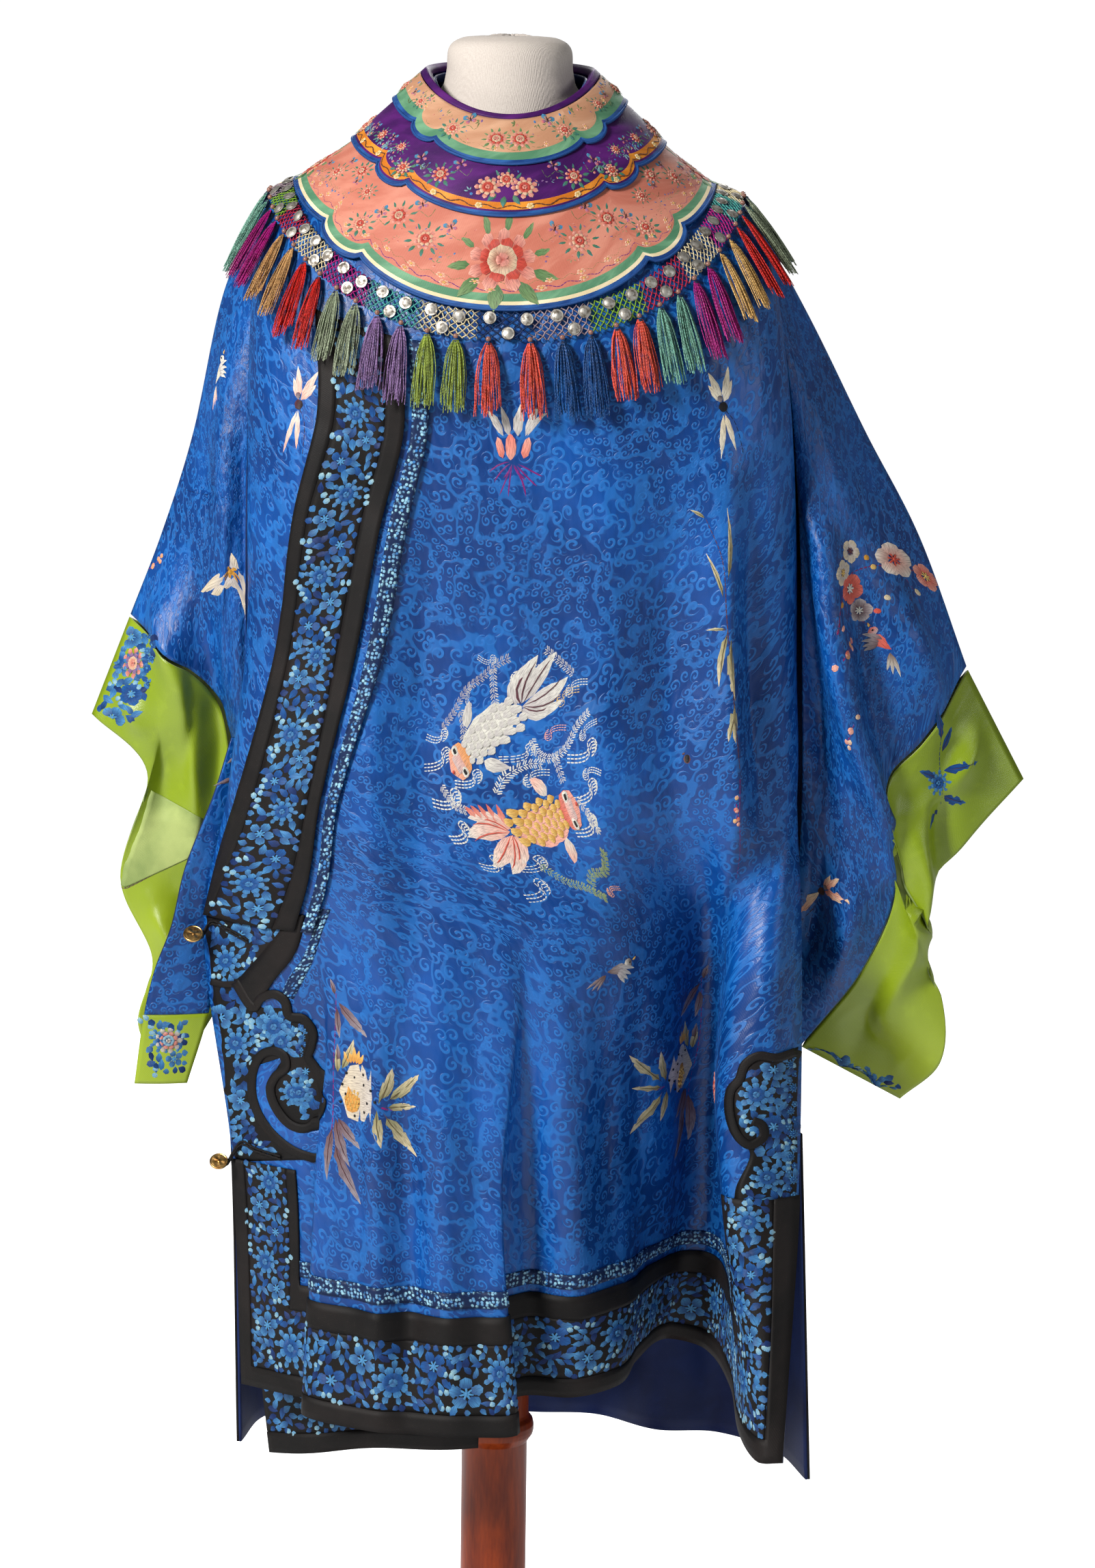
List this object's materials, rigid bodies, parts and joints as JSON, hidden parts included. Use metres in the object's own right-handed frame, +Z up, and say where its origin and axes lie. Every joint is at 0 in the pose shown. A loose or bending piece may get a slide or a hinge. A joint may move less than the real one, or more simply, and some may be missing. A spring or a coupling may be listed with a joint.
{
  "type": "embroidered silk robe with scalloped collar, on a dress form and pole stand",
  "caption": "Wide-sleeved silk robe with embroidered borders and a three-tier scalloped collar with tassels, worn on a limbless dress form on a turned wooden pole.",
  "frame": {"origin": "middle of the underside of the stand's base, on the floor", "axes": "+Z up, the robe's front towards -Y, +X to the viewer's right when the front is seen"},
  "size_m": [0.7498, 0.4067, 1.5335],
  "materials": {
    "black_satin": "dull satin binding",
    "blue_silk": "cloud-patterned silk damask",
    "brass": "worn brass",
    "coral_silk": "silk with embroidery",
    "flower_embroidery": "silk embroidery on a dark ground",
    "fringe_silk": "loose silk floss",
    "green_satin": "plain satin",
    "linen": "plain linen",
    "net_cord": "knotted silk cord",
    "purple_silk": "silk with embroidery",
    "stand_wood": "polished reddish brown wood",
    "tan_silk": "silk with embroidery"
  },
  "bodies": {
    "root": {"robe_front": "blue_silk", "front_binding": "black_satin", "front_flower_band": "flower_embroidery", "front_satin_band": "black_satin", "front_ribbon": "flower_embroidery", "robe_back": "blue_silk", "back_binding": "black_satin", "back_flower_band": "flower_embroidery", "back_satin_band": "black_satin", "back_ribbon": "flower_embroidery", "under_lap": "blue_silk", "under_lap_flower_band": "flower_embroidery", "under_lap_binding": "black_satin", "sleeve_left": "blue_silk", "cuff_left": "green_satin", "sleeve_right": "blue_silk", "cuff_right": "green_satin", "sleeve_left_fold": "blue_silk", "cuff_left_tip": "green_satin", "overlap_edge": "black_satin", "overlap_flower_band": "flower_embroidery", "overlap_satin_band": "black_satin", "overlap_ribbon": "flower_embroidery", "button_underarm": "brass", "loop_underarm": "black_satin", "button_slit": "brass", "loop_slit": "black_satin", "collar_tier_top": "tan_silk", "collar_tier_middle": "purple_silk", "collar_tier_bottom": "coral_silk", "collar_neck_binding": "purple_silk", "collar_net": "net_cord", "fringe_1": "fringe_silk", "fringe_2": "fringe_silk", "fringe_3": "fringe_silk", "fringe_4": "fringe_silk", "fringe_5": "fringe_silk", "fringe_6": "fringe_silk", "fringe_7": "fringe_silk", "fringe_8": "fringe_silk", "fringe_9": "fringe_silk", "fringe_10": "fringe_silk", "dress_form": "linen", "pole": "stand_wood", "base": "stand_wood", "cloud_left": "black_satin", "cloud_right": "black_satin"}
  },
  "joints": []
}
